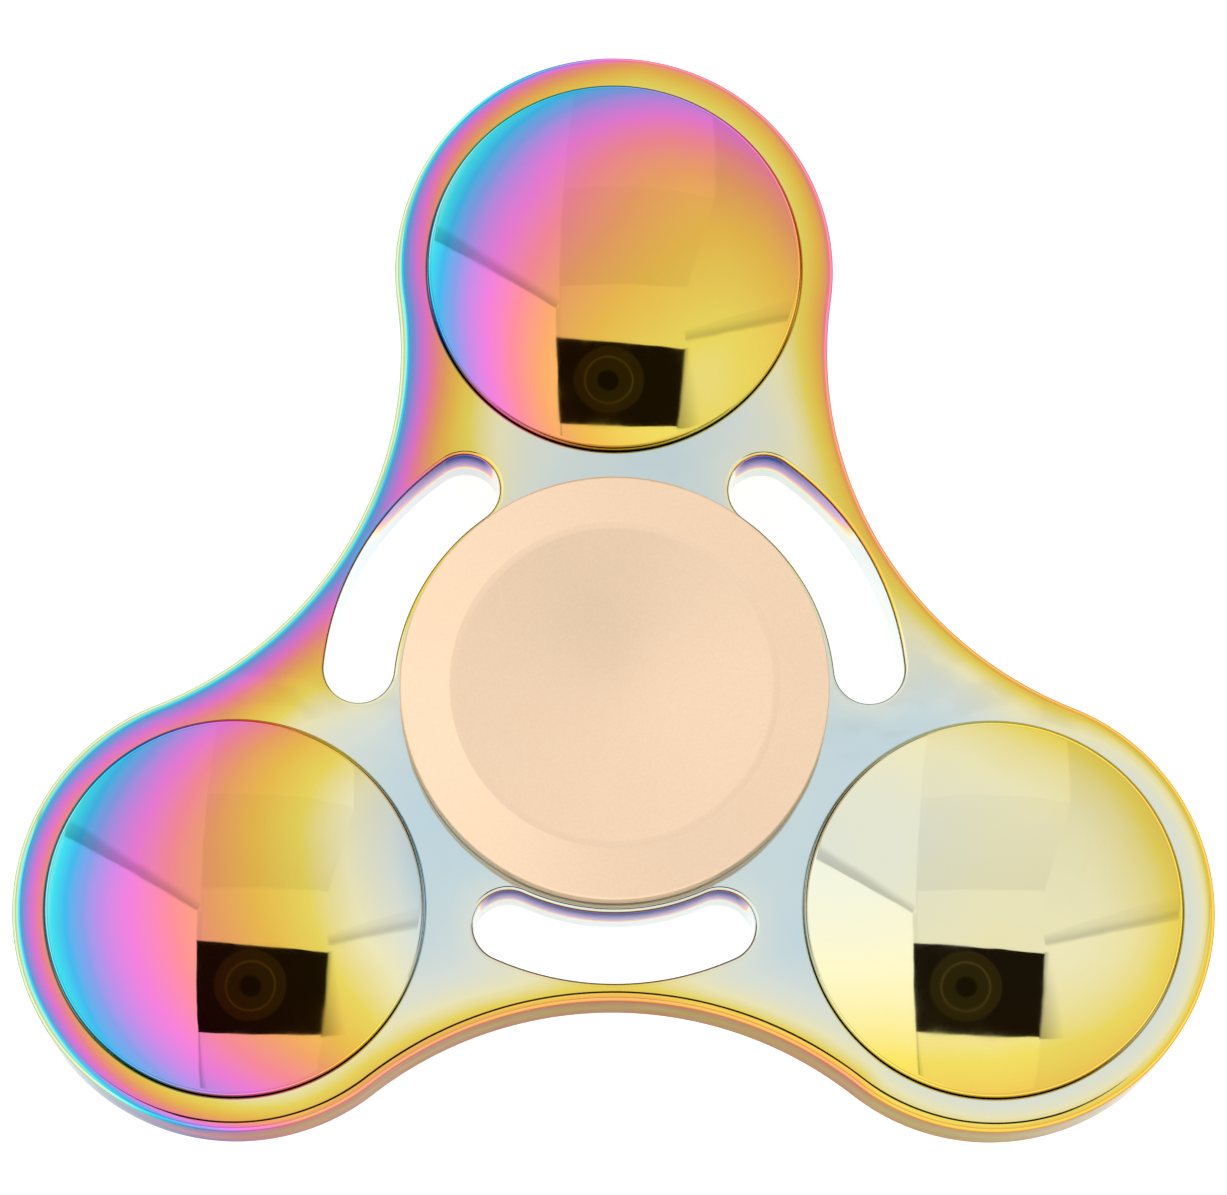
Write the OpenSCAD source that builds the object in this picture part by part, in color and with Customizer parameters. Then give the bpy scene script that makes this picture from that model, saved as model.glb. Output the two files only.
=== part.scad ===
// Three-lobed fidget spinner: a die-cast body with a mirror dome screwed into each face of
// each lobe, turning on a miniature ball bearing that is pinched between two finger caps.
// Millimetres. +Z is the spin axis. The origin is the middle of the bearing.
// The first lobe points along +Y, and the second and third follow counter-clockwise.

/* [Body] */
// Distance from the spin axis to the centre of a lobe
lobe_offset = 22.4; // [21.5:0.1:24]
// Radius of a lobe
lobe_r = 11.4; // [11.2:0.1:11.8]
// Radius of the hollow curve between two lobes
waist_r = 20; // [19:0.5:22]
// Thickness of the body
body_t = 5.5; // [5.3:0.1:6]

/* [Slots] */
// Radius of the arc that a slot follows
slot_path_r = 13.2; // [13:0.05:13.3]
// Width of a slot
slot_w = 3.6; // [3:0.1:3.8]
// Angle from the middle of a slot to the centre of its round end
slot_half_angle = 24.2; // [20:0.1:25]
// Bevel of a slot's edges
slot_bevel = 0.2; // [0.1:0.05:0.3]

/* [Weight domes] */
// Radius of a dome
dome_r = 9.7; // [9.5:0.05:9.8]
// Radius of the ball that a dome is a slice of
dome_ball_r = 26; // [24:0.5:30]
// Height of a dome's rim above the body's face
dome_rim_rise = 0.6; // [0.4:0.05:0.8]
// Depth of the seat that a dome sits in
dome_seat_depth = 0.9; // [0.7:0.05:1.2]
// Gap around a dome in its seat
dome_gap = 0.12; // [0.1:0.01:0.2]
// Radius of the boss under a dome
dome_boss_r = 4; // [3.5:0.1:6]

/* [Finger caps] */
// Radius of a finger cap
cap_r = 11; // [10.5:0.1:11]
// Gap between a finger cap and the body's face
cap_gap = 0.45; // [0.3:0.05:0.6]
// Height of a finger cap's straight edge
cap_edge_h = 1.45; // [1.2:0.05:1.6]
// Radius of the finger dish
dish_r = 8.2; // [7.5:0.1:8.5]
// Depth of the finger dish
dish_depth = 1.1; // [0.8:0.05:1.3]
// Width of the flat ring that the spinner rests on
land_w = 0.3; // [0.2:0.05:0.5]
// Height of the ring above the cap's straight edge
land_rise = 0.85; // [0.7:0.05:1]

/* [Bearing, quarter inch by half inch by three sixteenths] */
// Radius of the bore
bearing_bore_r = 3.175; // [3.175]
// Outer radius
bearing_outer_r = 6.35; // [6.35]
// Width
bearing_w = 4.762; // [4.762]
// Number of balls
ball_count = 10; // [8:1:10]
// Radius of a ball
ball_r = 0.794; // [0.75:0.001:0.794]

/* [Hidden] */
$fn = 96;
layer = 0.01;

// Two round surfaces that would only touch are made to cross by this much instead.
crossing = 0.04;
half_t = body_t / 2;
half_w = bearing_w / 2;

// The hollow curves touch the lobes, so their centres follow from the three radii.
touch = lobe_r + waist_r;
waist_offset = lobe_offset / 2 + sqrt(touch * touch - 3 * lobe_offset * lobe_offset / 4);

dome_seat_z = half_t - dome_seat_depth;
dome_rim_z = half_t + dome_rim_rise;
dome_h = dome_ball_r - sqrt(dome_ball_r * dome_ball_r - dome_r * dome_r);

cap_low_z = half_t + cap_gap;
cap_edge_z = cap_low_z + cap_edge_h;
land_z = cap_edge_z + land_rise;
dish_ball_r = (dish_r * dish_r + dish_depth * dish_depth) / (2 * dish_depth);
cap_shoulder_r = 3.85;
cap_spigot_r = bearing_bore_r - 0.01;
cap_spigot_end_z = 0.1;
cap_edge_bevel = 0.15;

// M4 headless screws join the two finger caps and each pair of domes.
stud_r = 2;
stud_half_l = 3.2;
stud_key = 2;
stud_key_depth = 1.6;

// Bearing internals
pitch_r = (bearing_bore_r + bearing_outer_r) / 2;
race_r = ball_r + 0.016;
inner_land_r = 4.02;
outer_land_r = 5.5;
hub_lip_r = 5.7;
cage_in_r = 4.32;
cage_out_r = 5.2;
cage_top_z = 1.05;
cage_low_z = -0.35;
cage_pocket_r = ball_r + 0.05;
shield_in_r = 4.2;
shield_out_r = 5.85;
shield_t = 0.2;
shield_low_z = 1.75;
snap_out_r = 5.85;
snap_in_r = 5.45;
snap_t = 0.22;
snap_gap_angle = 24;

plated = "gold";
peach = "peachpuff";
steel = "silver";

LOBES = [1, 2, 3];
BALLS = [for (i = [1:ball_count]) i];
function ball_name(i) = str("bearing_ball_", i < 10 ? "0" : "", i);

// Moves its children to lobe i.
module at_lobe(i) {
    rotate([0, 0, 120 * (i - 1)])
        translate([0, lobe_offset, 0])
            children();
}

// Shows its children facing the front, or turned over to face the back.
module facing(front) {
    rotate([front ? 0 : 180, 0, 0])
        children();
}

function polar(r, angle) = r * [cos(angle), sin(angle)];

// Point at a distance from the centre of lobe i, on the line to the centre of the hollow curve
// on one side of it. The lobe and the curve meet on that line.
function flank(i, side, distance) =
    let (lobe = polar(lobe_offset, 120 * i - 30), waist = polar(waist_offset, 120 * i - 30 + 60 * side))
        lobe + distance / touch * (waist - lobe);

// Outline of the plate: three round lobes on a core, with three hollow curves cut between them.
module body_outline() {
    difference() {
        union() {
            for (i = LOBES)
                rotate(120 * (i - 1))
                    translate([0, lobe_offset])
                        circle(r = lobe_r);
            polygon([
                for (i = LOBES)
                    for (p = [[-1, lobe_r + 2], [-1, 2], [1, 2], [1, lobe_r + 2]])
                        flank(i, p[0], p[1])
            ]);
        }
        for (i = LOBES)
            rotate(120 * (i - 1) - 90)
                translate([waist_offset, 0])
                    circle(r = waist_r + crossing);
    }
}

// Cutter for one slot, centred on +X: an arc with a round end at each side.
module slot_cutter() {
    half = slot_w / 2;
    flare = half + slot_bevel;
    over = half_t + 1;
    rotate([0, 0, -slot_half_angle])
        rotate_extrude(angle = 2 * slot_half_angle)
            translate([slot_path_r, 0])
                polygon([
                    [-flare, -over], [flare, -over], [flare, -half_t], [half, -half_t + slot_bevel],
                    [half, half_t - slot_bevel], [flare, half_t], [flare, over], [-flare, over],
                    [-flare, half_t], [-half, half_t - slot_bevel], [-half, -half_t + slot_bevel],
                    [-flare, -half_t]
                ]);
    end_r = half - crossing;
    for (side = [-1, 1])
        rotate([0, 0, side * slot_half_angle])
            translate([slot_path_r, 0, 0]) {
                cylinder(r = end_r, h = 2 * over, center = true);
                for (front = [true, false])
                    facing(front)
                        translate([0, 0, half_t - slot_bevel])
                            cylinder(r1 = end_r, r2 = end_r + 1, h = 1);
            }
}

// Die-cast body with seats for the domes, bores for their bosses and the bearing's housing.
module spinner_body() {
    seat_r = dome_r + dome_gap;
    color(plated)
    difference() {
        linear_extrude(height = body_t, center = true)
            body_outline();
        for (i = LOBES) {
            at_lobe(i) {
                cylinder(r = dome_boss_r + 0.05, h = body_t + 2, center = true);
                for (front = [true, false])
                    facing(front) {
                        translate([0, 0, dome_seat_z])
                            cylinder(r = seat_r, h = body_t);
                        translate([0, 0, half_t - dome_gap])
                            cylinder(r1 = seat_r, r2 = seat_r + 1, h = 1);
                    }
            }
            rotate([0, 0, 120 * i - 90])
                slot_cutter();
        }
        translate([0, 0, -half_w])
            cylinder(r = bearing_outer_r, h = body_t);
        cylinder(r = hub_lip_r, h = body_t + 2, center = true);
    }
}

// Polished steel dome with a short straight rim and a threaded boss.
module weight_dome() {
    color(plated)
    difference() {
        union() {
            intersection() {
                translate([0, 0, dome_seat_z])
                    cylinder(r = dome_r, h = body_t + dome_h);
                translate([0, 0, dome_rim_z + dome_h - dome_ball_r])
                    sphere(r = dome_ball_r);
            }
            translate([0, 0, cap_spigot_end_z])
                cylinder(r = dome_boss_r, h = dome_seat_z);
        }
        translate([0, 0, -layer])
            cylinder(r = stud_r, h = stud_half_l + layer);
    }
}

// Headless screw with a hexagon socket in its front end.
module stud() {
    color(steel)
    difference() {
        cylinder(r = stud_r, h = 2 * stud_half_l, center = true);
        translate([0, 0, stud_half_l - stud_key_depth])
            cylinder(r = stud_key / sqrt(3), h = stud_key_depth + layer, $fn = 6);
    }
}

// Outer ring with its ball groove and a groove at each side for a shield.
module bearing_outer_ring() {
    color(steel)
    rotate_extrude()
        difference() {
            translate([outer_land_r, -half_w])
                square([bearing_outer_r - outer_land_r, bearing_w]);
            translate([pitch_r, 0])
                circle(r = race_r);
            for (side = [0, 1])
                mirror([0, side])
                    translate([outer_land_r - 1, shield_low_z])
                        square([shield_out_r - outer_land_r + 1, half_w]);
        }
}

// Inner ring with its ball groove.
module bearing_inner_ring() {
    color(steel)
    rotate_extrude()
        difference() {
            translate([bearing_bore_r, -half_w])
                square([inner_land_r - bearing_bore_r, bearing_w]);
            translate([pitch_r, 0])
                circle(r = race_r);
        }
}

// One ball, at place i around the ring.
module bearing_ball(i) {
    color(steel)
    rotate([0, 0, 360 * i / ball_count])
        translate([pitch_r, 0, 0])
            sphere(r = ball_r);
}

// Crown that keeps the balls apart: a ring with a round pocket for each ball, open at the back.
module ball_cage() {
    color("goldenrod")
    difference() {
        rotate_extrude()
            translate([cage_in_r, cage_low_z])
                square([cage_out_r - cage_in_r, cage_top_z - cage_low_z]);
        for (i = BALLS)
            rotate([0, 0, 360 * i / ball_count])
                translate([pitch_r, 0, 0])
                    sphere(r = cage_pocket_r);
    }
}

// Thin pressed disc that keeps dirt out of the bearing.
module bearing_shield() {
    color(steel)
    translate([0, 0, shield_low_z])
        rotate_extrude()
            translate([shield_in_r, 0])
                square([shield_out_r - shield_in_r, shield_t]);
}

// Split ring that holds a shield in its groove.
module shield_snap_ring() {
    color(steel)
    translate([0, 0, shield_low_z + shield_t])
        rotate([0, 0, snap_gap_angle / 2])
            rotate_extrude(angle = 360 - snap_gap_angle)
                translate([snap_in_r, 0])
                    square([snap_out_r - snap_in_r, snap_t]);
}

// Dished finger cap, with the shoulder that meets the inner ring and the spigot in its bore.
module finger_cap() {
    outer_bevel_r = cap_r - cap_edge_bevel;
    color(peach)
    difference() {
        union() {
            rotate_extrude()
                polygon([
                    [0, cap_low_z],
                    [outer_bevel_r, cap_low_z],
                    [cap_r, cap_low_z + cap_edge_bevel],
                    [cap_r, cap_edge_z - cap_edge_bevel],
                    [outer_bevel_r, cap_edge_z],
                    [dish_r + land_w, land_z],
                    [0, land_z]
                ]);
            translate([0, 0, half_w])
                cylinder(r = cap_shoulder_r, h = cap_low_z - half_w + layer);
            translate([0, 0, cap_spigot_end_z])
                cylinder(r = cap_spigot_r, h = half_w);
        }
        translate([0, 0, land_z - dish_depth + dish_ball_r])
            sphere(r = dish_ball_r);
        cylinder(r = stud_r, h = stud_half_l);
    }
}

spinner_body();
for (i = LOBES) {
    at_lobe(i) facing(true) weight_dome();
    at_lobe(i) facing(false) weight_dome();
    at_lobe(i) stud();
}
bearing_outer_ring();
bearing_inner_ring();
ball_cage();
for (i = BALLS)
    bearing_ball(i);
facing(true) bearing_shield();  // front_bearing_shield
facing(false) bearing_shield();  // back_bearing_shield
facing(true) shield_snap_ring();  // front_shield_snap_ring
facing(false) shield_snap_ring();  // back_shield_snap_ring
facing(true) finger_cap();  // front_finger_cap
facing(false) finger_cap();  // back_finger_cap
stud();  // axle_stud
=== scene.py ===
"""Three-lobed fidget spinner with rainbow plating, lying on a white table inside a light tent."""

import math

import bpy
import numpy as np
from mathutils import Matrix, Vector
from mathutils.geometry import delaunay_2d_cdt


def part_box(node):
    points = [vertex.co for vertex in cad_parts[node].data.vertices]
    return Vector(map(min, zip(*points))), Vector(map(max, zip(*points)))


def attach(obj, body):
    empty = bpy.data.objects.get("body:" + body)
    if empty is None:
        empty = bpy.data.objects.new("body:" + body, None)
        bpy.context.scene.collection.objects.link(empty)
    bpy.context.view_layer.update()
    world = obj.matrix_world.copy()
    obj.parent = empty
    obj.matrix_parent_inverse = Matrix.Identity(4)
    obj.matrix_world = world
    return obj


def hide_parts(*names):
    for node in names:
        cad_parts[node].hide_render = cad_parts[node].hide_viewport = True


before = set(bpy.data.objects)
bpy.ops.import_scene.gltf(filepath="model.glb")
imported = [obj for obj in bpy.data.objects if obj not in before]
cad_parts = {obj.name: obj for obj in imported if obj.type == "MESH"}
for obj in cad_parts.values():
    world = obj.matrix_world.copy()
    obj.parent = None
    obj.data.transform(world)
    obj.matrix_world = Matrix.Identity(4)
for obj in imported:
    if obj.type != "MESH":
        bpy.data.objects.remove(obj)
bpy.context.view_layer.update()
MM = 0.001

# Spinner body.
# One zinc alloy casting with flat faces and three lobes. Its outer edge is rounded over, each
# lobe has a seat for a dome in both faces, and three curved slots lighten it around the hub.
# It is polished and plated in vacuum with a clear film, whose thickness gives its colour.
half_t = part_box("spinner_body")[1].z / MM
dome_boxes = [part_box(f"front_weight_dome_{i}") for i in (1, 2, 3)]
lobes = np.array([(low + high).xy / 2 / MM for low, high in dome_boxes])
dome_r = (dome_boxes[0][1].x - dome_boxes[0][0].x) / 2 / MM
lobe_offset = lobes[0][1]
lobe_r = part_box("spinner_body")[1].y / MM - lobe_offset
waist_r = 20.0
waist_offset = lobe_offset / 2 + math.sqrt((lobe_r + waist_r) ** 2 - 0.75 * lobe_offset**2)
outer_round, slot_round, rim_round = 0.5, 0.25, 0.1
seat_gap = 0.03
seat_r, seat_z, bore_r = dome_r + seat_gap, 1.85, 4.05
housing_r, housing_floor, lip_r = 6.35, -2.381, 5.7
slot_path_r, slot_half_w, slot_half_angle = 13.2, 1.8, 24.2
slot_angles = (-90, 30, 150)
round_rows, wall_rows = 9, 13
outline_step, hole_step, slot_side_step, slot_end_step = 0.3, 0.3, 0.25, 0.15


def toward(degrees):
    """Unit vectors at angles from +X."""
    a = np.radians(degrees)
    return np.stack([np.cos(a), np.sin(a)], -1)


def angle_of(v, middle=0.0):
    """Angles of vectors, in degrees from a middle one, between -180 and 180."""
    return (np.degrees(np.arctan2(v[..., 1], v[..., 0])) - middle + 180) % 360 - 180


def arc_edge(centre, radius, start, end, outward, step):
    """Points along an arc, the last one left out, each with the direction out of the metal
    there: rows of x, y, out x and out y."""
    count = max(3, int(abs(math.radians(end - start)) * radius / step))
    d = toward(np.linspace(start, end, count + 1)[:-1])
    return np.hstack([centre + radius * d, outward * d])


# the outline's six arcs: centre, radius, middle and half angle, and 1 for a lobe or -1 for a waist
outline_arcs = []
for i, lobe in enumerate(lobes):
    at = 90 + 120 * i
    waist = waist_offset * toward(at + 60)
    outline_arcs.append((lobe, lobe_r, at, angle_of(waist - lobe, at), 1))
    outline_arcs.append((waist, waist_r, at + 240, angle_of(lobe - waist, at + 240), -1))


sector_blend = 0.3


def arc_depths(p):
    """For each arc of the outline, how far inside it points lie, the directions out to it, and
    how far along it they are from the nearer end of its sector, negative outside the sector."""
    for centre, radius, middle, half, sign in outline_arcs:
        v = p - centre
        distance = np.hypot(v[..., 0], v[..., 1])
        within = np.radians(abs(half) - abs(angle_of(v, middle))) * radius
        yield sign * (radius - distance), sign * v / distance[..., None], within


def outer_depth(p):
    """How far inside the outline points lie."""
    arcs = arc_depths(p)
    depths = [np.where(within > -sector_blend / 2, depth, np.inf) for depth, _, within in arcs]
    return np.min(depths, 0)


def slot_vector(p):
    """Vectors to points from the nearest place on the slots' middle arcs."""
    nearest = np.full(p.shape, np.inf)
    for middle in slot_angles:
        along = np.clip(angle_of(p, middle), -slot_half_angle, slot_half_angle)
        v = p - slot_path_r * toward(middle + along)
        closer = np.linalg.norm(v, axis=-1) < np.linalg.norm(nearest, axis=-1)
        nearest = np.where(closer[..., None], v, nearest)
    return nearest


def slot_gap(p):
    """Distance from points in the metal to the nearest slot."""
    return np.linalg.norm(slot_vector(p), axis=-1) - slot_half_w


def hole_gap(p, centre, radius):
    """Distance from points in the metal to a round hole."""
    v = p - centre
    return np.hypot(v[..., 0], v[..., 1]) - radius


def face_margin(p, hub_r):
    """Distance from points to the nearest edge of the flat face, negative outside of it. The hole
    in the hub has its own radius on each side."""
    margins = [outer_depth(p) - outer_round, slot_gap(p) - slot_round]
    margins += [hole_gap(p, lobe, seat_r) - rim_round for lobe in lobes]
    margins += [hole_gap(p, 0, hub_r) - rim_round]
    return np.min(margins, 0)


shade_low, shade_from, shade_full = -0.6, 0.55, 0.85


def slot_shade(points):
    """How much points are on a slot's wall, and how much they are in the shaded upper part of
    a wall that faces the front of the table. Both go from 0 to 1: the shade with the height
    above shade_low, and between two limits of how far the wall is turned to the front."""
    v = slot_vector(points[:, :2])
    gap = np.linalg.norm(v, axis=-1) - slot_half_w
    wall = np.clip(1 - gap / slot_round, 0, 1) ** 6
    lean = v[:, 1] / (gap + slot_half_w)
    fronting = np.clip((lean - shade_from) / (shade_full - shade_from), 0, 1)
    return wall, fronting * np.clip((points[:, 2] - shade_low) / half_t, 0, 1)


bare_film, slot_side_film, slot_rim_film, far_film = 0.02, 0.04, 0.15, 0.03
back_film, round_film, round_left_film, wall_loss = 0.001, 0.16, 0.4, 0.4
slot_side_reach, far_start, film_ramp, lobe_blend = 0.8, 16.2, 6.0, 7.0


def body_film(points):
    """Thickness of the body's film. It is thin in the middle of the faces and grows towards the
    outer edge as exp(-depth / reach), more and wider in the waists and where the edge faces
    left, less towards the lower right. Over the rounded outer edge it grows again, and down
    the walls, which face away from the plating source, it loses a share. Each arc of the
    outline counts in its own sector. It is also a little thicker towards the back, beside
    the slots, at the rims of the slots there, and far from the middle."""
    p, z = points[:, :2], abs(points[:, 2])
    down = np.clip((half_t - outer_round - z) / (half_t - outer_round), 0, 1)
    gap = np.maximum(slot_gap(p), 0)
    film = bare_film + back_film * np.maximum(p[:, 1], 0)
    film += slot_side_film * np.exp(-gap / slot_side_reach)
    back = np.clip(p[:, 1] / film_ramp, 0, 1)
    film += slot_rim_film * back * np.clip(1 - gap / slot_round, 0, 1)
    film += far_film * np.clip((np.linalg.norm(p, axis=1) - far_start) / film_ramp, 0, 1)
    for (depth, out, within), (*_, sign) in zip(arc_depths(p), outline_arcs):
        left = np.clip(-0.62 * out[:, 0] + 0.1 * out[:, 1] - 0.018 * p[:, 0], 0, 1)
        place = np.clip(0.95 - 0.012 * p[:, 0] + 0.012 * p[:, 1], 0.5, 1.15)
        lobe = np.clip(within / lobe_blend, 0, 1) if sign > 0 else 0
        rise = (1 - 0.12 * lobe) * (0.25 * place + 0.45 * left)
        reach = (1 - 0.3 * lobe) * (1.6 * place + 0.9 * left)
        face = rise * np.exp(-np.maximum(depth - outer_round, 0) / reach)
        rounding = (round_film + round_left_film * left) * np.clip(1 - depth / outer_round, 0, 1)
        film += np.clip(within / sector_blend + 0.5, 0, 1) * (face + rounding)
    # On the slots' walls the film is bare, but thick, violet to blue, in their shaded upper part: that
    # colour is painted shade.
    wall, shade = slot_shade(points)
    slot_film_and_painted_shade = bare_film + np.minimum(shade * 5, 1) * (0.57 + 0.08 * shade)
    return film * (1 - wall_loss * down) * (1 - wall) + slot_film_and_painted_shade * wall


def body_gleam(points):
    """How much the body gleams white when it is looked at along its surface: fully on the flat faces
    and low in the slots, not at all on the outer walls and in the slots' shade. Where it does not
    gleam, the darker colour it shows instead is painted shade, for the shaded table near the body that
    these walls reflect."""
    wall, shade = slot_shade(points)
    return np.clip(outer_depth(points[:, :2]) / outer_round, 0, 1) * (1 - wall * shade)


def rounded_wall(radius):
    """Wall through the body with both edges rounded over a quarter circle. Rows of a profile are
    offset, z, out and up: how far a point lies beyond the edge, its height and its normal."""
    a = np.radians(np.linspace(0, 90, round_rows))
    out, up = np.sin(a), np.cos(a)
    top = np.stack([radius * (out - 1), half_t + radius * (up - 1), out, up], 1)
    bottom = top[::-1] * [1, -1, 1, -1]
    return [top, np.linspace(top[-1], bottom[0], wall_rows), bottom]


def seat_wall():
    """Both seats of a lobe and the bore between them."""
    top = rounded_wall(rim_round)[0]
    bore = seat_r - bore_r
    down = [top, [top[-1], (0, seat_z, 1, 0)], [(0, seat_z, 0, 1), (bore, seat_z, 0, 1)]]
    up = [np.array(run)[::-1] * [1, -1, 1, -1] for run in down[::-1]]
    return down + [[(bore, seat_z, 1, 0), (bore, -seat_z, 1, 0)]] + up


def housing_wall():
    """Housing of the bearing, open at the front and with a lip at the back."""
    top, _, bottom = rounded_wall(rim_round)
    lip = housing_r - lip_r
    bottom = bottom + [lip, 0, 0, 0]
    return [
        top,
        [top[-1], (0, housing_floor, 1, 0)],
        [(0, housing_floor, 0, 1), (lip, housing_floor, 0, 1)],
        [(lip, housing_floor, 1, 0), bottom[0]],
        bottom,
    ]


def slot_edge(middle):
    """Edge of one slot, clockwise: outer side, round end, inner side and round end."""
    low, high = middle - slot_half_angle, middle + slot_half_angle
    parts = [
        arc_edge(0, slot_path_r + slot_half_w, high, low, -1, slot_side_step),
        arc_edge(slot_path_r * toward(low), slot_half_w, low, low - 180, -1, slot_end_step),
        arc_edge(0, slot_path_r - slot_half_w, low, high, 1, slot_side_step),
        arc_edge(slot_path_r * toward(high), slot_half_w, high + 180, high, -1, slot_end_step),
    ]
    return np.vstack(parts)


def sweep(edge, runs):
    """A profile carried along a closed edge: point = edge point + offset * out direction, lifted
    to z, and normal = out * out direction + up. One patch (points, faces, normals) a run."""
    x, y, dx, dy = edge.T
    patches = []
    for run in runs:
        offset, z, out, up = np.array(run).T[:, :, None]
        points = np.stack([x + offset * dx, y + offset * dy, z + 0 * x], -1)
        normals = np.stack([out * dx, out * dy, up + 0 * x], -1).reshape(-1, 3)
        number = np.arange(points[..., 0].size).reshape(points.shape[:2])
        after = np.roll(number, -1, 1)
        corners = np.stack([number[:-1], number[1:], after[1:], after[:-1]], -1).reshape(-1, 4)
        patches.append((points.reshape(-1, 3), corners, normals[corners]))
    return patches


ring_steps = [0.14] * 10 + [0.25] * 8
ring_margin, ring_slack = 0.12, 0.01
grid_low, grid_high, grid_step = (-32, -24), (32, 35), 0.55
row_step, grid_margin, grid_clearance = grid_step * 0.866, 0.15, 0.2


def flat_face(walls, side):
    """The body's flat face on one side: rings of points that follow the outer edge closely, a
    grid of even triangles in the rest, and triangles between them and the tops of the walls."""
    tops = [runs[0][0] if side > 0 else runs[-1][-1] for edge, runs in walls]
    rims = [edge[:, :2] + top[0] * edge[:, 2:] for (edge, runs), top in zip(walls, tops)]
    hub_r = housing_r if side > 0 else lip_r
    outer = walls[0][0]
    insets = outer_round + np.cumsum(ring_steps)
    rings = (outer[:, :2] - insets[:, None, None] * outer[:, 2:]).reshape(-1, 2)
    depth = np.repeat(insets, len(outer)) - outer_round
    rings = rings[face_margin(rings, hub_r) > np.minimum(depth, ring_margin) - ring_slack]
    gx, gy = np.meshgrid(
        np.arange(grid_low[0], grid_high[0], grid_step),
        np.arange(grid_low[1], grid_high[1], row_step),
    )
    gx[1::2] += grid_step / 2
    grid = np.column_stack([gx.ravel(), gy.ravel()])
    inside = outer_depth(grid) > insets[-1] + grid_clearance
    grid = grid[inside & (face_margin(grid, hub_r) > grid_margin)]
    flat = np.vstack(rims + [rings, grid])
    ends = np.cumsum([len(rim) for rim in rims])
    loops = [np.arange(end - len(rim), end) for end, rim in zip(ends, rims)]
    edges = np.vstack([np.stack([loop, np.roll(loop, -1)], 1) for loop in loops])
    result = delaunay_2d_cdt(flat.tolist(), edges.tolist(), [], 0, 1e-6, False)
    triangles = np.array(result[2])
    a, b, c = flat[triangles].transpose(1, 0, 2)
    keep = face_margin((a + b + c) / 3, hub_r) > 0
    turn = (b - a)[:, 0] * (c - a)[:, 1] - (b - a)[:, 1] * (c - a)[:, 0]
    triangles = np.where((turn * side < 0)[:, None], triangles[:, ::-1], triangles)[keep]
    corners = triangles[:, [0, 1, 2, 2]]
    points = np.column_stack([flat, np.full(len(flat), side * half_t)])
    return points, corners, np.broadcast_to((0.0, 0.0, side), corners.shape + (3,))


weld_digits = 5


def solid(name, patches, **values):
    """Closed mesh from patches, in mm. Points in the same place become one, and a corner that
    repeats the one before it is dropped, so seams and poles close. Each corner keeps its exact
    normal. The values are functions of the points, stored as attributes for the material."""
    starts = np.cumsum([0] + [len(p[0]) for p in patches[:-1]])
    points = np.vstack([p[0] for p in patches])
    corners = np.vstack([p[1] + start for p, start in zip(patches, starts)])
    normals = np.vstack([p[2] for p in patches])
    rounded = np.round(points, weld_digits)
    _, first, same = np.unique(rounded, axis=0, return_index=True, return_inverse=True)
    corners = same.ravel()[corners]
    used, corners = np.unique(corners, return_inverse=True)
    points, corners = points[first[used]], corners.reshape(-1, 4)
    keep = corners != np.roll(corners, 1, 1)
    count = keep.sum(1)

    mesh = bpy.data.meshes.new(name)
    mesh.vertices.add(len(points))
    mesh.vertices.foreach_set("co", (points * MM).ravel())
    mesh.loops.add(int(count.sum()))
    mesh.loops.foreach_set("vertex_index", corners[keep])
    mesh.polygons.add(len(count))
    mesh.polygons.foreach_set("loop_start", np.cumsum(count) - count)
    mesh.update(calc_edges=True)
    mesh.shade_smooth()
    normals = normals[keep]
    normals = normals / np.linalg.norm(normals, axis=1, keepdims=True)
    mesh.normals_split_custom_set(normals.tolist())
    for key, value in values.items():
        layer = mesh.attributes.new(key, "FLOAT", "POINT")
        layer.data.foreach_set("value", value(points).astype(np.float32))
    piece = bpy.data.objects.new(name, mesh)
    bpy.context.scene.collection.objects.link(piece)
    return piece


def linear(red, green, blue):
    """Linear colour of an 0 to 255 screen colour: ((c + 0.055) / 1.055) to the power 2.4."""
    c = np.array([red, green, blue]) / 255
    return (*np.where(c <= 0.04045, c / 12.92, ((c + 0.055) / 1.055) ** 2.4), 1.0)


def node_adder(material):
    """Empties a material's tree. Returns a function that adds a node and sets its properties and
    inputs, one that links, and the output's surface."""
    material.use_nodes = True
    tree = material.node_tree
    tree.nodes.clear()

    def add(kind, **settings):
        node = tree.nodes.new("ShaderNode" + kind)
        for key, value in settings.items():
            if key.replace("_", " ") in node.inputs:
                node.inputs[key.replace("_", " ")].default_value = value
            else:
                setattr(node, key, value)
        return node

    return add, tree.links.new, add("OutputMaterial").inputs["Surface"]


# colour of the film from thin to thick: silver, gold, orange, magenta, violet, blue, cyan, green
FILM_COLOURS = {
    0.00: (178, 207, 222),
    0.06: (213, 220, 212),
    0.13: (231, 225, 182),
    0.21: (228, 209, 92),
    0.30: (229, 182, 76),
    0.38: (229, 154, 100),
    0.45: (232, 130, 142),
    0.53: (222, 116, 200),
    0.60: (182, 126, 212),
    0.67: (122, 144, 214),
    0.75: (60, 168, 216),
    0.83: (58, 204, 216),
    0.90: (140, 222, 214),
    1.00: (196, 214, 170),
}


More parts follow.
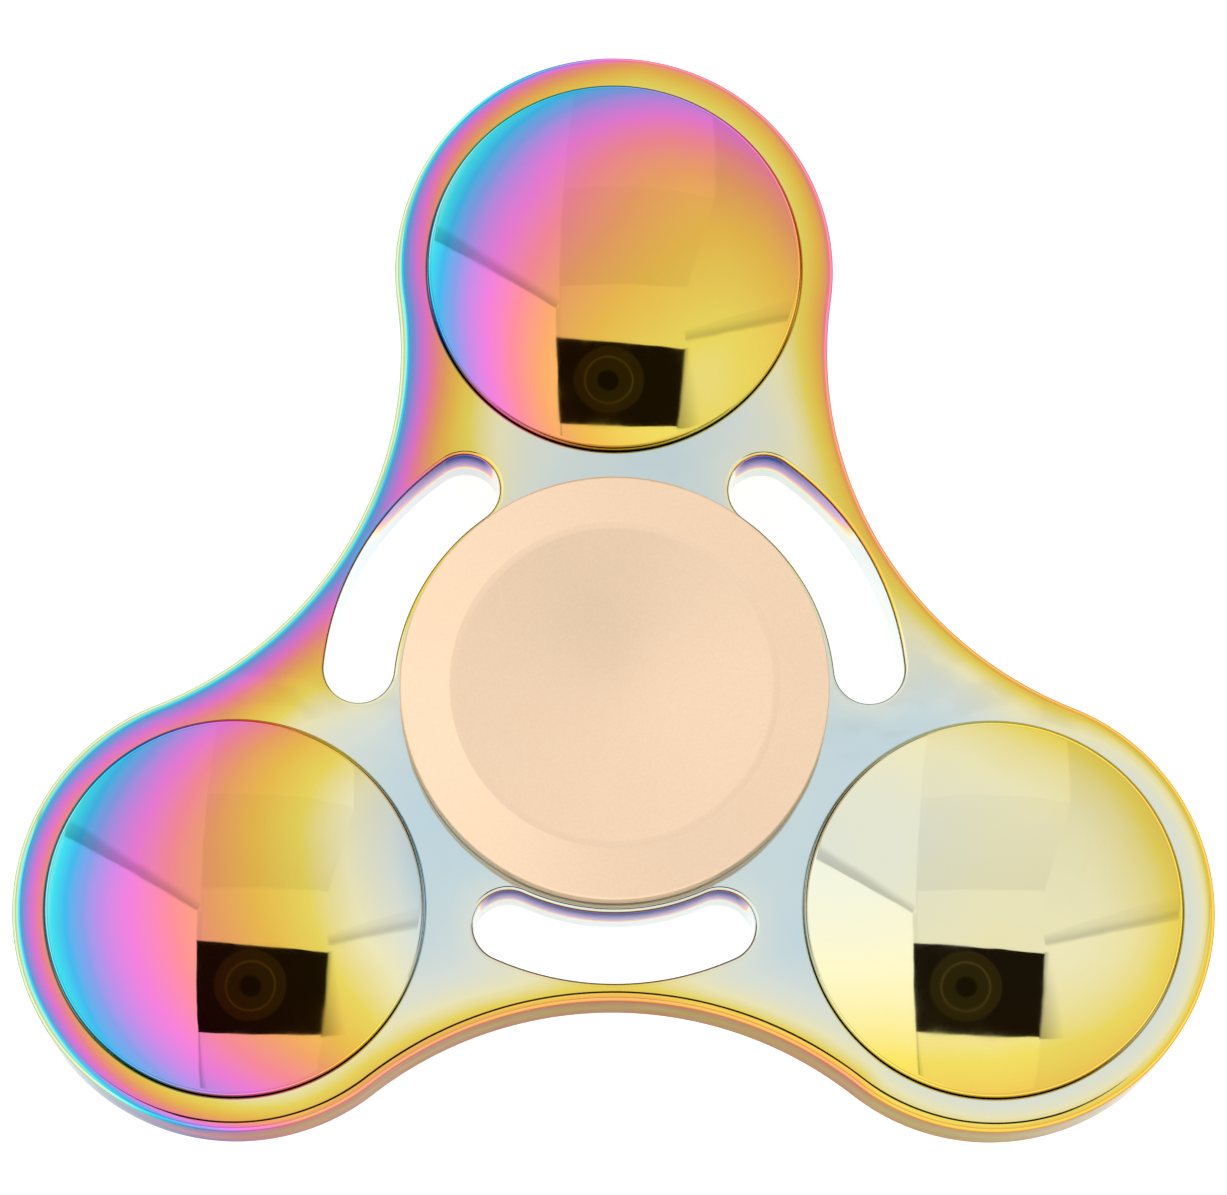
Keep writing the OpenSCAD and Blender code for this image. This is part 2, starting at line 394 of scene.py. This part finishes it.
def plated(name, roughness, waviness):
    """Mirror metal coloured by its film, which drifts a little from place to place. Looked at along
    its surface it shows the colour too, darker as painted shade, except where it gleams white.
    Waviness is the slight unevenness that polishing leaves under the plating."""
    material = bpy.data.materials.new(name)
    add, link, surface = node_adder(material)
    place = add("TexCoord").outputs["Object"]
    drift = add("TexNoise", Scale=150.0, Detail=3.0, Roughness=0.5)
    link(place, drift.inputs["Vector"])
    amount = add("MapRange", From_Min=0.0, From_Max=1.0, To_Min=-0.025, To_Max=0.025)
    link(drift.outputs["Fac"], amount.inputs["Value"])
    film = add("Math", operation="ADD")
    link(add("Attribute", attribute_name="film").outputs["Fac"], film.inputs[0])
    link(amount.outputs[0], film.inputs[1])
    ramp = add("ValToRGB")
    ramp.color_ramp.interpolation = "LINEAR"
    stops = ramp.color_ramp.elements
    for at in list(FILM_COLOURS)[1:-1]:
        stops.new(at)
    for stop, colour in zip(stops, FILM_COLOURS.values()):
        stop.color = linear(*colour)
    link(film.outputs[0], ramp.inputs["Fac"])

    smudge = add("TexNoise", Scale=260.0, Detail=4.0, Roughness=0.6)
    link(place, smudge.inputs["Vector"])
    rough = add("MapRange", From_Min=0.35, From_Max=0.75, To_Min=roughness, To_Max=roughness + 0.05)
    link(smudge.outputs["Fac"], rough.inputs["Value"])
    wave = add("TexNoise", Scale=420.0, Detail=1.5, Roughness=0.4)
    link(place, wave.inputs["Vector"])
    bump = add("Bump", Strength=waviness, Distance=0.0001)
    link(wave.outputs["Fac"], bump.inputs["Height"])
    # The darker film colour seen along the surface is painted shade.
    along = add("HueSaturation", Saturation=0.6, Value=0.5)
    link(ramp.outputs["Color"], along.inputs["Color"])
    gleam = add("MixRGB", Color2=(1.0, 1.0, 1.0, 1.0))
    link(add("Attribute", attribute_name="gleam").outputs["Fac"], gleam.inputs["Fac"])
    link(along.outputs["Color"], gleam.inputs["Color1"])
    metal = add("BsdfPrincipled", Metallic=1.0)
    link(ramp.outputs["Color"], metal.inputs["Base Color"])
    link(gleam.outputs["Color"], metal.inputs["Specular Tint"])
    link(rough.outputs[0], metal.inputs["Roughness"])
    link(bump.outputs["Normal"], metal.inputs["Normal"])
    link(metal.outputs["BSDF"], surface)
    return material


outline = np.vstack([
    arc_edge(centre, radius, middle - sign * half, middle + sign * half, sign, outline_step)
    for centre, radius, middle, half, sign in outline_arcs
])
walls = [(outline, rounded_wall(outer_round))]
walls += [(slot_edge(middle), rounded_wall(slot_round)) for middle in slot_angles]
walls += [(arc_edge(lobe, seat_r, 360, 0, -1, hole_step), seat_wall()) for lobe in lobes]
walls += [(arc_edge(0, housing_r, 360, 0, -1, hole_step), housing_wall())]
patches = [patch for edge, runs in walls for patch in sweep(edge, runs)]
patches += [flat_face(walls, 1), flat_face(walls, -1)]
body = solid("plated_body", patches, film=body_film, gleam=body_gleam)
body.data.materials.append(plated("plated_body", 0.05, 0.22))
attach(body, "rotor")
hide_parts("spinner_body")

# Weight domes.
# Six turned steel domes, polished and plated like the body. Each sits in a seat, proud of the
# face, and screws onto its lobe's stud with the boss underneath.
dome_ball_r = 26.0
dome_top, boss_end = dome_boxes[0][1].z / MM, dome_boxes[0][0].z / MM
dome_edge_r = 0.42
boss_r, screw_r, screw_end = 4.0, 2.0, 3.2
dome_steps, dome_rings, edge_rings = 192, 36, 5


def arc_run(centre_r, centre_z, radius, start, end, steps):
    """Turned profile rows along an arc between two angles above the horizontal."""
    d = toward(np.linspace(start, end, steps + 1))
    return np.hstack([np.array([centre_r, centre_z]) + radius * d, d])


def straight_run(*corners):
    """Turned profile runs along straight lines. The outside is on the left going round."""
    pairs = zip(np.array(corners[:-1], float), np.array(corners[1:], float))
    return [[(*a, a[1] - b[1], b[0] - a[0]), (*b, a[1] - b[1], b[0] - a[0])] for a, b in pairs]


def turned(runs, steps, centre, side):
    """Turned solid from profile runs that go from the axis at the outside to the axis at the
    inside. A side of -1 turns it over, and its faces with it."""
    edge = np.hstack([np.tile(centre, (steps, 1)), toward(np.arange(steps) * 360 / steps)])
    patches = sweep(edge, runs)
    if side > 0:
        return patches
    flip = np.array([1, 1, -1])
    return [(at * flip, corners[:, ::-1], normals[:, ::-1] * flip) for at, corners, normals in patches]


def dome_profile():
    """Dome from its top, over its edge, to the end of its threaded hole."""
    ball_z = dome_top - dome_ball_r
    reach = math.degrees(math.asin((dome_r - dome_edge_r) / (dome_ball_r - dome_edge_r)))
    ball = arc_run(0, ball_z, dome_ball_r, 90, 90 - reach, dome_rings)
    edge_z = ball_z + (dome_ball_r - dome_edge_r) * math.cos(math.radians(reach))
    edge = arc_run(dome_r - dome_edge_r, edge_z, dome_edge_r, 90 - reach, 0, edge_rings)
    return [ball, edge] + straight_run(
        (dome_r, edge_z), (dome_r, seat_z), (boss_r, seat_z), (boss_r, boss_end),
        (screw_r, boss_end), (screw_r, screw_end), (0, screw_end),
    )


# film on each dome: in the middle, its slope and saddle, and its rise near the rim and that
# rise's slope
DOME_FILMS = {
    1: (0.35, (-0.2, 0.16), (0.05, 0.01), 0.2, (-0.05, 0.06)),
    2: (0.35, (-0.33, -0.05), (-0.05, -0.08), 0.15, (-0.1, 0.02)),
    3: (0.12, (0.03, -0.04), (-0.03, 0.04), 0.08, (0.05, 0)),
}


def dome_film(centre, middle, slope, saddle, rim, rim_slope):
    """Film on a dome at x and y, where its rim is at 1: middle + slope * (x, y) + saddle *
    (x squared - y squared, x y) + (rim + rim slope * (x, y)) * (distance to the middle) ** 4."""
    def film(points):
        x, y = ((points[:, :2] - centre) / dome_r).T
        near_rim = (x * x + y * y) ** 2
        broad = middle + slope[0] * x + slope[1] * y + saddle[0] * (x * x - y * y) + saddle[1] * x * y
        return broad + (rim + rim_slope[0] * x + rim_slope[1] * y) * near_rim
    return film


dome_finish = plated("plated_dome", 0.015, 0.05)
for i, centre in zip((1, 2, 3), lobes):
    for side, facing in (("front", 1), ("back", -1)):
        patches = turned(dome_profile(), dome_steps, centre, facing)
        dome = solid(f"{side}_dome_{i}", patches, film=dome_film(centre, *DOME_FILMS[i]))
        dome.data.materials.append(dome_finish)
        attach(dome, "rotor")
        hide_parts(f"{side}_weight_dome_{i}")

# Finger caps.
# Two turned aluminium caps, finely blasted and anodised in rose gold. A narrow land and a wide
# bevel go round a shallow dish, and a spigot underneath goes into the bearing's inner ring.
cap_low, cap_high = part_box("front_finger_cap")
cap_r, land_z, spigot_end = cap_high.x / MM, cap_high.z / MM, cap_low.z / MM
cap_under, bevel_low = 3.2, 4.68
dish_r, dish_depth, dish_nose = 8.1, 1.1, 2.0
land_r, land_tilt = 8.45, 0.05
corner_r, under_r = 0.2, 0.15
shoulder_r, spigot_r, bearing_face = 3.85, 3.165, 2.381
cap_steps, dish_rings, under_rings = 224, 30, 4
bevel_overrun = 0.001


def cap_profile():
    """Cap from the middle of its dish, over the land, bevel and side, to the end of its hole. The
    dish is a cone with a rounded nose: z = steepness * root of (r squared + nose squared). The
    land's normals lean apart a little, so its edges look eased."""
    steepness = dish_depth / (math.hypot(dish_r, dish_nose) - dish_nose)
    r = np.linspace(0, dish_r, dish_rings)
    z = land_z - dish_depth + steepness * (np.hypot(r, dish_nose) - dish_nose)
    dish = np.stack([r, z, -steepness * r / np.hypot(r, dish_nose), np.ones(dish_rings)], 1)
    land = [(dish_r, land_z, -land_tilt, 1), (land_r, land_z, land_tilt, 1)]
    slope = math.degrees(math.atan2(land_z - bevel_low, cap_r - corner_r - land_r))
    across, up = math.sin(math.radians(slope)), math.cos(math.radians(slope))
    edge_z = bevel_low - bevel_overrun * across - corner_r * up
    side = arc_run(cap_r - corner_r, edge_z, corner_r, 90 - slope, 0, edge_rings)
    bevel = [(land_r, land_z, across, up), (*side[0][:2], across, up)]
    under = arc_run(cap_r - under_r, cap_under + under_r, under_r, 0, -90, under_rings)
    return [
        dish, land, bevel, side,
        *straight_run((cap_r, edge_z), (cap_r, cap_under + under_r)), under,
        *straight_run(
            (cap_r - under_r, cap_under), (shoulder_r, cap_under), (shoulder_r, bearing_face),
            (spigot_r, bearing_face), (spigot_r, spigot_end), (screw_r, spigot_end),
            (screw_r, screw_end), (0, screw_end),
        ),
    ]


def anodised(name):
    """Blasted and anodised aluminium: a fine grain in colour and height, and broad soft patches."""
    material = bpy.data.materials.new(name)
    add, link, surface = node_adder(material)
    place = add("TexCoord").outputs["Object"]
    grain = add("TexNoise", Scale=8000.0, Detail=2.0)
    link(place, grain.inputs["Vector"])
    tint = add("ValToRGB")
    grain_colours = {0.2: (246, 217, 186), 0.8: (251, 224, 194)}
    for stop, (at, colour) in zip(tint.color_ramp.elements, grain_colours.items()):
        stop.position = at
        stop.color = linear(*colour)
    link(grain.outputs["Fac"], tint.inputs["Fac"])
    patches = add("TexNoise", Scale=220.0, Detail=2.0)
    link(place, patches.inputs["Vector"])
    rough = add("MapRange", To_Min=0.46, To_Max=0.54)
    link(patches.outputs["Fac"], rough.inputs["Value"])
    bump = add("Bump", Strength=0.15, Distance=0.00002)
    link(grain.outputs["Fac"], bump.inputs["Height"])
    metal = add("BsdfPrincipled", Metallic=1.0, Specular_Tint=(0.7, 0.6, 0.5, 1.0))
    link(tint.outputs["Color"], metal.inputs["Base Color"])
    link(rough.outputs[0], metal.inputs["Roughness"])
    link(bump.outputs["Normal"], metal.inputs["Normal"])
    link(metal.outputs["BSDF"], surface)
    return material


cap_finish = anodised("anodised_cap")
for side, facing in (("front", 1), ("back", -1)):
    cap = solid(f"{side}_cap", turned(cap_profile(), cap_steps, (0, 0), facing))
    cap.data.materials.append(cap_finish)
    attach(cap, "grip")
    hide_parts(f"{side}_finger_cap")


# Bearing.
# A miniature ball bearing: ground steel rings, shields and split rings that hold the shields,
# ten polished balls, and a pressed brass cage that spaces them.
def machined(name, colour, roughness):
    """Bare metal whose gloss varies in faint patches."""
    material = bpy.data.materials.new(name)
    add, link, surface = node_adder(material)
    patches = add("TexNoise", Scale=900.0, Detail=3.0)
    link(add("TexCoord").outputs["Object"], patches.inputs["Vector"])
    rough = add("MapRange", To_Min=roughness * 0.8, To_Max=roughness * 1.3)
    link(patches.outputs["Fac"], rough.inputs["Value"])
    metal = add("BsdfPrincipled", Metallic=1.0, Base_Color=linear(*colour))
    link(rough.outputs[0], metal.inputs["Roughness"])
    link(metal.outputs["BSDF"], surface)
    return material


def finish_nodes(finish, *names):
    """Gives the CAD nodes whose names start with one of the given words a finish."""
    for name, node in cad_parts.items():
        if name.startswith(names):
            node.data.materials.clear()
            node.data.materials.append(finish)


finish_nodes(machined("bearing_steel", (196, 198, 200), 0.22), "bearing_outer", "bearing_inner",
             "front_bearing", "back_bearing", "front_shield", "back_shield")
finish_nodes(machined("ball_steel", (214, 216, 218), 0.06), "bearing_ball")
finish_nodes(machined("cage_brass", (206, 170, 96), 0.3), "ball_cage")

# Axle and weight studs.
# Headless hardened screws with a hexagon socket in each end. One holds the two finger caps
# together through the bearing, and one in each lobe holds its two domes together.
finish_nodes(machined("screw_steel", (120, 122, 126), 0.35), "axle_stud", "weight_stud")

# Table and light tent.
# A white paper table, left out when it is seen from below, and a ceiling of large soft panels, which
# the mirrors reflect. The dark front of the camera hangs near the middle of the ceiling, and the
# panels have soft dark joints, which are painted shade of the folds in the tent.
tent_z, tent_shift = 380.0, -12.0


def stage_mesh(name, points, faces, material):
    """Flat piece of the stage, from points in mm."""
    mesh = bpy.data.meshes.new(name)
    mesh.from_pydata((np.array(points, float) * MM).tolist(), [], faces)
    mesh.materials.append(material)
    piece = bpy.data.objects.new(name, mesh)
    bpy.context.scene.collection.objects.link(piece)
    return piece


paper = bpy.data.materials.new("paper")
add, link, surface = node_adder(paper)
sheet = add("BsdfPrincipled", Roughness=0.7, Base_Color=(0.82, 0.82, 0.82, 1),
            Emission_Color=(1, 1, 1, 1), Emission_Strength=0.68)
below = add("MixShader")
link(add("NewGeometry").outputs["Backfacing"], below.inputs[0])
link(sheet.outputs["BSDF"], below.inputs[1])
link(add("BsdfTransparent").outputs[0], below.inputs[2])
link(below.outputs[0], surface)
table_half = 1200
table_signs = ((-1, -1), (1, -1), (1, 1), (-1, 1))
table_corners = [(x * table_half, y * table_half, -land_z) for x, y in table_signs]
stage_mesh("table", table_corners, [[0, 1, 2, 3]], paper)

glow = bpy.data.materials.new("tent_light")
add, link, surface = node_adder(glow)
light = add("Emission")
link(add("Attribute", attribute_name="glow").outputs["Color"], light.inputs["Color"])
link(light.outputs["Emission"], surface)


def panel(name, corners, light, drop=0.0, faces=None):
    """Flat light panel of the tent, seen only in reflections. Light is one strength, one for each
    corner, or one colour for each corner, and drop is how far it hangs below the ceiling."""
    points = [(x, y + tent_shift, tent_z - drop) for x, y in corners]
    piece = stage_mesh(name, points, faces or [list(range(len(corners)))], glow)
    colours = np.ones((len(corners), 4))
    strengths = np.array(light, float)
    if strengths.ndim < 2:
        strengths = np.broadcast_to(strengths, len(corners))[:, None]
    colours[:, :3] = strengths
    layer = piece.data.attributes.new("glow", "FLOAT_COLOR", "POINT")
    layer.data.foreach_set("color", colours.ravel())
    piece.visible_camera = False


def painted_shade_joint(name, start, end, width, light):
    """Joint between panels along a line: painted shade of a fold, dark on the line, fading to the
    light of the panels at its two sides, five times wider at the end. Width and light are for the left
    and the right side and, for light, the line between them."""
    a, b = np.array(start, float), np.array(end, float)
    across = np.array([a[1] - b[1], b[0] - a[0]]) / np.linalg.norm(b - a)
    rows = [a + across * width[0], b + across * width[0] * 5, a, b,
            a - across * width[1], b - across * width[1] * 5]
    panel(name, rows, np.repeat(light, 2), 1.0, [[0, 1, 3, 2], [2, 3, 5, 4]])


def disc(name, centre, radius, colour, drop, corners=48):
    """Round panel, for the rings of the lens."""
    rim = np.array(centre) + radius * toward(np.arange(corners) * 360 / corners)
    panel(name, rim, np.tile(colour, (corners, 1)), drop)


far = 900
panel("tent_strip", [(-82, -26), (122, -26), (122, 78), (-82, 78)], 1.02)
panel("tent_grey", [(-84, 78), (122, 78), (190, 262), (-84, 262)], [0.93, 0.91, 0.98, 0.98])
panel("tent_back", [(-84, 262), (190, 262), (300, far), (-84, far)], 1.02)
panel("tent_left_low", [(-90, 43), (-far, 545), (-far, -far), (-90, -far)], 1.26)
panel("tent_left_up", [(-84, 39), (-84, far), (-far, far), (-far, 545), (-90, 43)], 1.08)
panel("tent_right_low", [(122, -8), (122, -far), (far, -far), (far, 185)], 1.06)
panel("tent_right_up", [(122, -8), (far, 185), (far, far), (300, far), (190, 262), (122, 78)],
      [1.04, 0.88, 0.84, 0.84, 0.92, 1.0])
panel("tent_front", [(-90, -160), (-90, -far), (122, -far), (122, -160)], 1.15)
card_colours = np.tile((0.012, 0.008, 0.004), (4, 1))
panel("card", [(-92, -158), (122, -166), (122, -24), (-90, -6)], card_colours, 1.0)
painted_shade_joint("joint_left", (-90, 43), (-far, 545), (2, 14), (1.26, 0.72, 1.08))
painted_shade_joint("joint_right", (122, -8), (far, 185), (14, 6), (0.95, 0.72, 1.06))
painted_shade_joint("joint_card", (122, -22), (124, -170), (9, 1), (1.06, 0.5, 0.5))
painted_shade_joint("joint_front", (-91, -158), (-96, -330), (3, 1), (1.15, 0.6, 1.26))
lens_at = (-5.0, -78.0)
disc("lens_barrel", lens_at, 58, (0.03, 0.022, 0.006), 2.0)
disc("lens_rim", lens_at, 41, (0.075, 0.058, 0.02), 2.2)
disc("lens_glass", lens_at, 38, (0.028, 0.022, 0.006), 2.4)
disc("lens_pupil", lens_at, 17, (0.01, 0.008, 0.002), 2.6)

world = bpy.data.worlds.new("studio")
bpy.context.scene.world = world
world.use_nodes = True
world.node_tree.nodes["Background"].inputs["Color"].default_value = (1, 1, 1, 1)
world.node_tree.nodes["Background"].inputs["Strength"].default_value = 0.95

# Camera.
# A long lens almost straight above the spinner, a little towards the front.
camera_at, aim_y = (-5.0, -66.0), 5.53
camera_data = bpy.data.cameras.new("camera")
camera_data.lens = 218.6
camera_data.sensor_width = 36
camera_data.clip_start = 0.05
camera = bpy.data.objects.new("camera", camera_data)
bpy.context.scene.collection.objects.link(camera)
camera.location = Vector((*camera_at, tent_z)) * MM
target = Vector((0, aim_y, 0)) * MM
forward = (target - camera.location).normalized()
right = forward.cross(Vector((0, 1, 0))).normalized()
camera.rotation_euler = Matrix((right, right.cross(forward), -forward)).transposed().to_euler()
bpy.context.scene.camera = camera
bpy.context.scene.view_settings.view_transform = "Standard"
